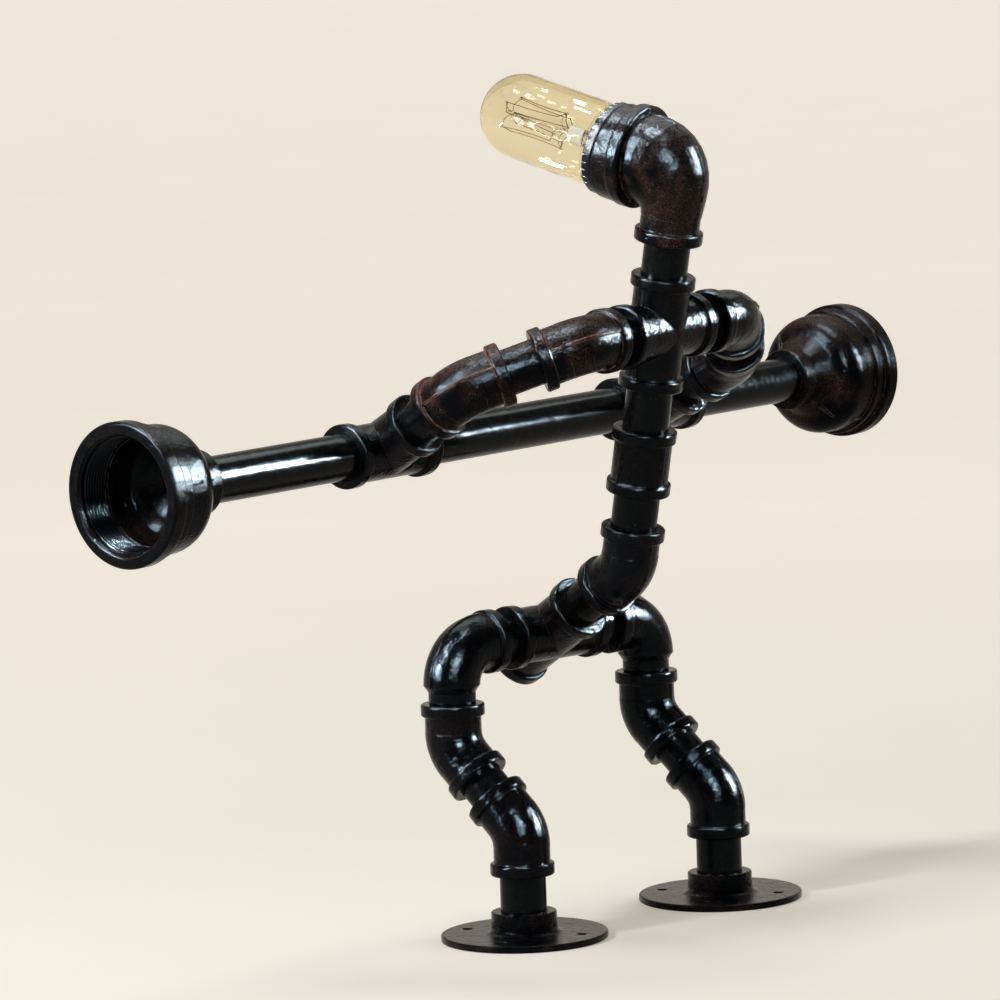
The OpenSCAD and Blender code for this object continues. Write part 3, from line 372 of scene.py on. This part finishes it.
# ------------------------------------------------------------------ places taken from the frame
JOINTS = {j["name"]: j for j in record["behaviour"]["joints"]}


def middle(node):
    lo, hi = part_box(node)
    return (Vector(lo) + Vector(hi)) / 2


def frame_along(axis, towards):
    """Right-handed axes with z along axis and x as near as it can be to towards"""
    z = Vector(axis).normalized()
    x = Vector(towards)
    x = (x - z * x.dot(z)).normalized()
    return x, z.cross(x), z


mouth = Vector(JOINTS["bulb_turn"]["pos_m"])
face_x, face_y, face_dir = frame_along(JOINTS["bulb_turn"]["axis"], JOINTS["neck_swivel"]["axis"])
bar_dir = (middle("bar_left_pipe") - middle("bar_right_pipe")).normalized()


# ------------------------------------------------------------------ mesh helpers
WIRE_SIDES = 6


def circle(steps):
    """Cosine and sine of the steps round a circle"""
    for k in range(steps):
        w = 2 * math.pi * k / steps
        yield math.cos(w), math.sin(w)


def skin(rings, sides):
    """Faces over rings of as many vertices each, with flat ends"""
    faces = []
    for a in range(0, (rings - 1) * sides, sides):
        for k in range(sides):
            j = (k + 1) % sides
            faces.append((a + k, a + j, a + sides + j, a + sides + k))
    faces.append(tuple(reversed(range(sides))))
    faces.append(tuple(range((rings - 1) * sides, rings * sides)))
    return faces


def new_piece(name, verts, faces, mat, body):
    """A smooth-shaded mesh that rides on body and takes the material mat"""
    mesh = bpy.data.meshes.new(name)
    mesh.from_pydata([tuple(v) for v in verts], [], faces)
    mesh.validate()
    mesh.update()
    for poly in mesh.polygons:
        poly.use_smooth = True
    obj = bpy.data.objects.new(name, mesh)
    bpy.context.scene.collection.objects.link(obj)
    mesh.materials.append(mat)
    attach(obj, body)
    return obj


def tube(points, radius):
    """Vertices and faces of a round wire along points"""
    verts = []
    side = None
    for i, at in enumerate(points):
        along = (points[min(i + 1, len(points) - 1)] - points[max(i - 1, 0)]).normalized()
        if side is None:
            side = along.orthogonal().normalized()
        side = (side - along * side.dot(along)).normalized()
        other = along.cross(side)
        for c, d in circle(WIRE_SIDES):
            verts.append(at + (side * c + other * d) * radius)
    return verts, skin(len(points), WIRE_SIDES)


def joined(parts):
    """Several (vertices, faces) as one"""
    verts, faces = [], []
    for v, f in parts:
        base = len(verts)
        verts += list(v)
        faces += [tuple(i + base for i in face) for face in f]
    return verts, faces


# ------------------------------------------------------------------ threads inside the bells
BELL_BOX_MIDDLE = 0.04905              # from the small end to the middle of the recorded hollow
THREAD_BORE = 0.03275                  # radius
THREAD_PITCH = 0.0021
THREAD_DEPTH = 0.00125
THREAD_SINK = 0.0004                   # how far its foot lies in the bell's wall
THREAD_FROM, THREAD_TO = 0.0426, 0.0588     # along the bell, from its small end
THREAD_STEPS = 72                      # in one turn
THREAD_FADE = 0.4                      # turns over which it rises at each end
THREAD_SECTION = [(THREAD_SINK, -0.46), (-THREAD_DEPTH * 0.9, -0.10), (-THREAD_DEPTH, 0.0),
                  (-THREAD_DEPTH * 0.9, 0.10), (THREAD_SINK, 0.46)]     # (outwards in metres, along in pitches)


def bell_thread(name, small_end, axis):
    """One ridge wound round the bore"""
    x, y, z = frame_along(axis, (0, 0, 1))
    n = int((THREAD_TO - THREAD_FROM) / THREAD_PITCH * THREAD_STEPS)
    verts, faces = [], []
    for i in range(n + 1):
        w = 2 * math.pi * i / THREAD_STEPS
        at = THREAD_FROM + THREAD_PITCH * i / THREAD_STEPS
        fade = min(1.0, i / (THREAD_STEPS * THREAD_FADE), (n - i) / (THREAD_STEPS * THREAD_FADE))
        radial = x * math.cos(w) + y * math.sin(w)
        for depth, along in THREAD_SECTION:
            r = THREAD_BORE + (depth if depth > 0 else depth * fade)
            verts.append(small_end + radial * r + z * (at + along * THREAD_PITCH))
    k = len(THREAD_SECTION)
    for i in range(n):
        for j in range(k):
            j2 = (j + 1) % k
            faces.append((i * k + j, (i + 1) * k + j, (i + 1) * k + j2, i * k + j2))
    faces.append(tuple(range(k)))
    faces.append(tuple(reversed(range(n * k, n * k + k))))
    return new_piece(name, verts, faces, M["thread"], "body")


threads = []
for opening in record["physics"]["openings"]:
    side = "left" if opening["name"].startswith("left") else "right"
    outwards = bar_dir if side == "left" else -bar_dir
    low, high = opening["box_m"]
    box_middle = (Vector(low) + Vector(high)) / 2
    threads.append(bell_thread(side + "_bell_thread", box_middle - outwards * BELL_BOX_MIDDLE, outwards))


# ------------------------------------------------------------------ inside the bulb
CAGE_LOW, CAGE_HIGH = 0.0380, 0.0745       # along the bulb, out of the mouth
CAGE_RADIUS = 0.0105
PRESS_LOW, PRESS_TOP = 0.0235, 0.0335      # the flattened foot that holds the lead-in wires
STRANDS = 8
STRAND_STEPS = 16
STRAND_SLACK = 0.0009
FILAMENT_RADIUS = 0.00026
HOOK_WIRE_RADIUS = 0.00018
HOOK_BEND_RADIUS = 0.0007
HOOK_SAG = 0.0022
LEAD_IN_RADIUS = 0.00032
STEM_LEAD_RADIUS = 0.00045
ROD_RADIUS = 0.0011
BEAD_RADIUS, BEAD_HALF = 0.0017, 0.0006    # the glass bead that each ring of supports is set in
STEM_SIDES = 28


def in_bulb(radius, turn, along):
    return mouth + (face_x * math.cos(turn) + face_y * math.sin(turn)) * radius + face_dir * along


def stem_glass():
    """Clear tube and rod, milky where the foot is pressed together"""
    mat, nt, bsdf = new_material("stem_glass")
    vec = coords(nt)
    height = nt.nodes.new("ShaderNodeVectorMath")
    height.operation = "DOT_PRODUCT"
    nt.links.new(vec, height.inputs[0])
    height.inputs[1].default_value = face_dir
    press_middle = mouth.dot(face_dir) + (PRESS_LOW + PRESS_TOP) / 2
    off = math_node(nt, "ABSOLUTE", math_node(nt, "SUBTRACT", height.outputs["Value"], press_middle), 0.0)
    foot = ramp(nt, math_node(nt, "DIVIDE", off, PRESS_TOP - PRESS_LOW), [(0.50, 1.0), (0.62, 0.0)])
    streaks = noise_tex(nt, vec, 500, 3, 0.6)
    milk = mottled(nt, streaks, 0.35, 0.65, (0.90, 0.92, 0.96), (0.98, 0.99, 1.0))
    nt.links.new(mix_color(nt, foot, (0.96, 0.95, 0.92), milk), bsdf.inputs["Base Color"])
    nt.links.new(ramp(nt, foot, [(0.0, 1.0), (1.0, 0.0)]), bsdf.inputs["Transmission Weight"])
    nt.links.new(ramp(nt, streaks, [(0.3, 0.02), (0.7, 0.12)]), bsdf.inputs["Roughness"])
    bsdf.inputs["IOR"].default_value = GLASS_IOR
    bump(nt, bsdf, [(streaks, 0.0002, 0.4)])
    return mat


def bulb_stem():
    """Flared tube from the cap, pressed flat round the lead-in wires, with a rod that carries the supports"""
    rings = [(-0.004, 0.0100, 0.0100), (0.004, 0.0078, 0.0078), (0.012, 0.0056, 0.0056), (0.019, 0.0048, 0.0046),
             (PRESS_LOW, 0.0050, 0.0032), (PRESS_LOW + 0.0012, 0.0052, 0.0024), (PRESS_TOP - 0.0012, 0.0052, 0.0024),
             (PRESS_TOP, 0.0045, 0.0019), (PRESS_TOP + 0.0008, 0.0018, 0.0014),
             (PRESS_TOP + 0.003, ROD_RADIUS, ROD_RADIUS)]       # (along, half width on face_x, half width on face_y)
    for bead in (CAGE_LOW, CAGE_HIGH):
        rings += [(bead - BEAD_HALF, ROD_RADIUS, ROD_RADIUS), (bead, BEAD_RADIUS, BEAD_RADIUS),
                  (bead + BEAD_HALF, ROD_RADIUS, ROD_RADIUS)]
        if bead == CAGE_LOW:
            rings.append(((CAGE_LOW + CAGE_HIGH) / 2, ROD_RADIUS, ROD_RADIUS))
    rings.append((CAGE_HIGH + 0.003, 0.0008, 0.0008))
    verts = [mouth + face_x * c * wide + face_y * d * thick + face_dir * along
             for along, wide, thick in rings for c, d in circle(STEM_SIDES)]
    return new_piece("bulb_stem_glass", verts, skin(len(rings), STEM_SIDES), stem_glass(), "bulb")


def bulb_wires():
    """Support hooks on the glass rod, and the two lead-in wires from the press"""
    parts = []
    root = 0.0009
    for ring, phase, away in ((CAGE_LOW, 0.0, -1), (CAGE_HIGH, 0.5, 1)):
        for k in range(STRANDS // 2):
            w = 2 * math.pi * (k + phase) / (STRANDS // 2)
            arm = [in_bulb(root + (CAGE_RADIUS - root) * t, w, ring + HOOK_SAG * math.sin(t * math.pi))
                   for t in (i / 8 for i in range(9))]
            hook = [in_bulb(CAGE_RADIUS + HOOK_BEND_RADIUS * math.sin(q), w,
                            ring + HOOK_BEND_RADIUS * (1 - math.cos(q)) * away)
                    for q in (math.pi * 2 * i / 10 for i in range(1, 9))]
            parts.append(tube(arm + hook, HOOK_WIRE_RADIUS))
    for turn in (0.0, math.pi):
        above = [(0.0022, PRESS_TOP - 0.004), (0.0024, PRESS_TOP), (0.0034, PRESS_TOP + 0.0022),
                 (0.0060, PRESS_TOP + 0.0040), (CAGE_RADIUS, CAGE_LOW)]
        parts.append(tube([in_bulb(r, turn, z) for r, z in above], LEAD_IN_RADIUS))
        below = [in_bulb(0.0026, turn, z) for z in (-0.003, 0.006, 0.014, PRESS_LOW + 0.001)]
        parts.append(tube(below, STEM_LEAD_RADIUS))
    verts, faces = joined(parts)
    return new_piece("bulb_support_wires", verts, faces, M["wire"], "bulb")


def bulb_filament():
    """The filament itself: up and down between the hooks in one run, a little slack"""
    points = []
    sector = 2 * math.pi / STRANDS
    for k in range(STRANDS):
        for i in range(STRAND_STEPS + 1):
            t = i / STRAND_STEPS
            along = CAGE_LOW + (CAGE_HIGH - CAGE_LOW) * (t if k % 2 == 0 else 1 - t)
            lean = 1.0 if i == STRAND_STEPS else t * 0.30      # the last point is already at the next hook
            slack = STRAND_SLACK * math.sin(math.pi * t)
            points.append(in_bulb(CAGE_RADIUS - slack, sector * (k + lean), along))
    verts, faces = tube(points, FILAMENT_RADIUS)
    return new_piece("bulb_filament_run", verts, faces, M["filament"], "bulb")


stem = bulb_stem()
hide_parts("bulb_stem")
support_wires = bulb_wires()
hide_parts("bulb_filament")
filament_run = bulb_filament()
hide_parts("bulb_filament")

# ------------------------------------------------------------------ stage and light
FLOOR_COLOR = (0.77, 0.715, 0.635)
FLOOR_SIZE = 90.0
GLOW_NEAR, GLOW_FAR = 0.42, 0.97       # share of its own colour that the floor shows without any lamp
GLOW_REACH = 14.0                      # metres from the lamp over which the one turns into the other
bpy.ops.mesh.primitive_plane_add(size=FLOOR_SIZE, location=(0, 0, 0))
floor = bpy.context.object
floor.name = "stage_floor"


def any_seen_ray(nt):
    """1 on camera, glossy and transmission rays, 0 on the diffuse rays that carry light"""
    path = nt.nodes.new("ShaderNodeLightPath")
    seen = math_node(nt, "MAXIMUM", path.outputs["Is Camera Ray"], path.outputs["Is Glossy Ray"])
    return math_node(nt, "MAXIMUM", seen, path.outputs["Is Transmission Ray"])


def floor_material():
    """Pale matt floor that shows part of its colour without any lamp, more so far away"""
    mat, nt, bsdf = new_material("stage_floor")
    vec = coords(nt)
    patches = noise_tex(nt, vec, 5, 3, 0.5)
    away = nt.nodes.new("ShaderNodeVectorMath")
    away.operation = "LENGTH"
    nt.links.new(vec, away.inputs[0])
    share = math_node(nt, "DIVIDE", away.outputs["Value"], GLOW_REACH)
    glow = ramp(nt, share, [(0.03, GLOW_NEAR), (0.14, 0.80), (0.30, 0.92), (1.0, GLOW_FAR)])
    color = mottled(nt, patches, 0.3, 0.7, times(FLOOR_COLOR, 0.985), FLOOR_COLOR)
    nt.links.new(color, bsdf.inputs["Base Color"])
    nt.links.new(color, bsdf.inputs["Emission Color"])
    nt.links.new(math_node(nt, "MULTIPLY", any_seen_ray(nt), glow), bsdf.inputs["Emission Strength"])
    bsdf.inputs["Roughness"].default_value = 0.8
    bsdf.inputs["Specular IOR Level"].default_value = 0.0
    return mat


floor.data.materials.append(floor_material())
flat_back = Vector((back.x, back.y, 0)).normalized()
WALL_COLOR = (0.72, 0.66, 0.57)


def studio_world():
    """Dark room whose far wall, behind the lamp, is pale"""
    world = bpy.data.worlds.new("studio")
    bpy.context.scene.world = world
    world.use_nodes = True
    nt = world.node_tree
    nt.nodes.clear()
    out = nt.nodes.new("ShaderNodeOutputWorld")
    bg = nt.nodes.new("ShaderNodeBackground")
    coord = nt.nodes.new("ShaderNodeTexCoord")
    split = nt.nodes.new("ShaderNodeSeparateXYZ")
    nt.links.new(coord.outputs["Generated"], split.inputs[0])
    facing = nt.nodes.new("ShaderNodeVectorMath")
    facing.operation = "DOT_PRODUCT"
    nt.links.new(coord.outputs["Generated"], facing.inputs[0])
    facing.inputs[1].default_value = -flat_back
    wall = ramp(nt, facing.outputs["Value"], [(0.0, 0.0), (0.5, 1.0)])
    low = ramp(nt, split.outputs["Z"], [(0.20, 1.0), (0.90, 0.15)])
    share = math_node(nt, "MULTIPLY", wall, low)
    room = ramp(nt, split.outputs["Z"], [(0.0, (0.020, 0.020, 0.022)), (0.5, (0.030, 0.036, 0.040)),
                                         (1.0, (0.10, 0.12, 0.12))])
    nt.links.new(mix_color(nt, share, room, WALL_COLOR), bg.inputs["Color"])
    nt.links.new(bg.outputs[0], out.inputs["Surface"])


studio_world()


LAMPS_AIM = Vector((0, 0, 0.27))


def area(name, at, size, power, color=(1, 1, 1)):
    """A rectangular lamp, aimed at the middle of the object"""
    data = bpy.data.lights.new(name, "AREA")
    data.shape = "RECTANGLE"
    data.size, data.size_y = size
    data.energy = power
    data.color = color
    lamp = bpy.data.objects.new(name, data)
    bpy.context.scene.collection.objects.link(lamp)
    lamp.location = at
    lamp.rotation_euler = (LAMPS_AIM - at).to_track_quat("-Z", "Y").to_euler()
    return lamp


AROUND = Vector((0, 0, 0.25))


def around(right_m, up_m, back_m):
    """A point given by the camera's own right, up and back, from the middle of the object"""
    return AROUND + flat_right * right_m + Vector((0, 0, 1)) * up_m + flat_back * back_m


def members(name, objects):
    """A collection that says what a lamp shines on"""
    group = bpy.data.collections.new(name)
    for obj in objects:
        group.objects.link(obj)
    return group


def in_slots(*slots):
    return [obj for node_name, obj in frame["nodes"].items() if slot_of[node_name] in slots]


shells = in_slots("amber_glass")
flanges = in_slots("flange_iron")
lacquered = in_slots(*(key for key in SLOTS if key not in ("amber_glass", "clear_glass"))) + threads
by_soft_lamps = members("lit_by_soft_lamps", lacquered + [support_wires, filament_run, stem, floor])
by_panes = members("lit_by_panes", [obj for obj in lacquered if obj not in flanges])
by_top = members("lit_by_top", lacquered)
by_glints = members("lit_by_glints", shells)

# the two lamps that light the scene; the bulb's outer glass neither shows nor blocks them
LAMP_SPREAD = math.radians(130)
for lamp in (area("key_window", around(-1.9, 1.35, 1.2), (0.40, 0.60), 22, (0.95, 0.98, 1.0)),
             area("top_soft", around(0.1, 2.5, -0.6), (1.1, 0.5), 9.4, (0.98, 1.0, 0.99))):
    lamp.data.spread = LAMP_SPREAD
    lamp.light_linking.receiver_collection = by_soft_lamps
    lamp.light_linking.blocker_collection = by_soft_lamps

# windows that only the lacquer shows, as gloss: wide dim ones, and narrow bright panes in them
PANES = (          # name, place, size, power, colour
    ("window_left", (-2.2, 0.55, 0.7), (1.1, 1.3), 5, (0.70, 0.86, 1.0)),
    ("pane_left", (-2.1, 0.70, 0.9), (0.12, 0.55), 460, (0.84, 0.94, 1.0)),
    ("pane_high", (-1.5, 1.9, 1.0), (0.32, 0.11), 400, (0.86, 0.95, 1.0)),
    ("window_right", (2.3, 0.8, -0.2), (0.5, 1.3), 17, (0.70, 0.86, 1.0)),
    ("pane_right", (2.2, 0.85, -0.1), (0.09, 0.80), 720, (0.84, 0.95, 1.0)),
    ("window_top", (0.0, 2.2, -1.3), (2.8, 1.4), 62, (0.84, 0.95, 0.92)),
    ("pane_top", (-0.2, 2.4, 0.2), (0.90, 0.08), 330, (0.88, 0.98, 1.0)),
    ("pane_front", (0.35, 1.3, 2.9), (0.13, 0.50), 400, (0.84, 0.95, 1.0)))
for name, at, size, power, color in PANES:
    pane = area(name, around(*at), size, power, color)
    pane.visible_diffuse = False
    pane.light_linking.receiver_collection = by_top if name == "window_top" else by_panes

# thin lamps for the glare on the glass, each where the camera sees it mirrored at one place of the tube
glass_front = (back - face_dir * back.dot(face_dir)).normalized()
glass_side = face_dir.cross(glass_front)
GLASS_RADIUS = 0.0248
GLINT_AWAY = 2.5
GLINTS = (          # name, turn from the front, place along, length and width of the glare, distance, brightness
    ("glint_top", 0.78, 0.0270, 0.0090, 0.0026, GLINT_AWAY, 60),
    ("glint_shoulder", 0.58, 0.0150, 0.0110, 0.0012, GLINT_AWAY, 45),
    ("glint_crown", 0.46, 0.0510, 0.0110, 0.0022, GLINT_AWAY, 14),
    ("glint_middle", -0.18, 0.0410, 0.0080, 0.0060, GLINT_AWAY, 10),
    ("glint_round", -0.42, 0.0690, 0.0040, 0.0030, 1.5, 26),
    ("glint_low", -0.98, 0.0280, 0.0150, 0.0024, 0.5, 50))
for name, turn, along, glare_length, glare_width, away, brightness in GLINTS:
    normal = glass_front * math.cos(turn) + glass_side * math.sin(turn)
    point = mouth + face_dir * along + normal * GLASS_RADIUS
    to_eye = (place - point).normalized()
    out = 2 * normal.dot(to_eye) * normal - to_eye
    length = glare_length * (1 + away / VIEW_DISTANCE)
    breadth = glare_width * 2 * away / GLASS_RADIUS
    glint = area(name, point + out * away, (length, breadth), brightness * math.pi * length * breadth)
    across = (face_dir - out * face_dir.dot(out)).normalized()
    glint.rotation_euler = Matrix((across, out.cross(across), out)).transposed().to_euler()
    glint.visible_diffuse = False
    glint.visible_camera = False
    glint.light_linking.receiver_collection = by_glints
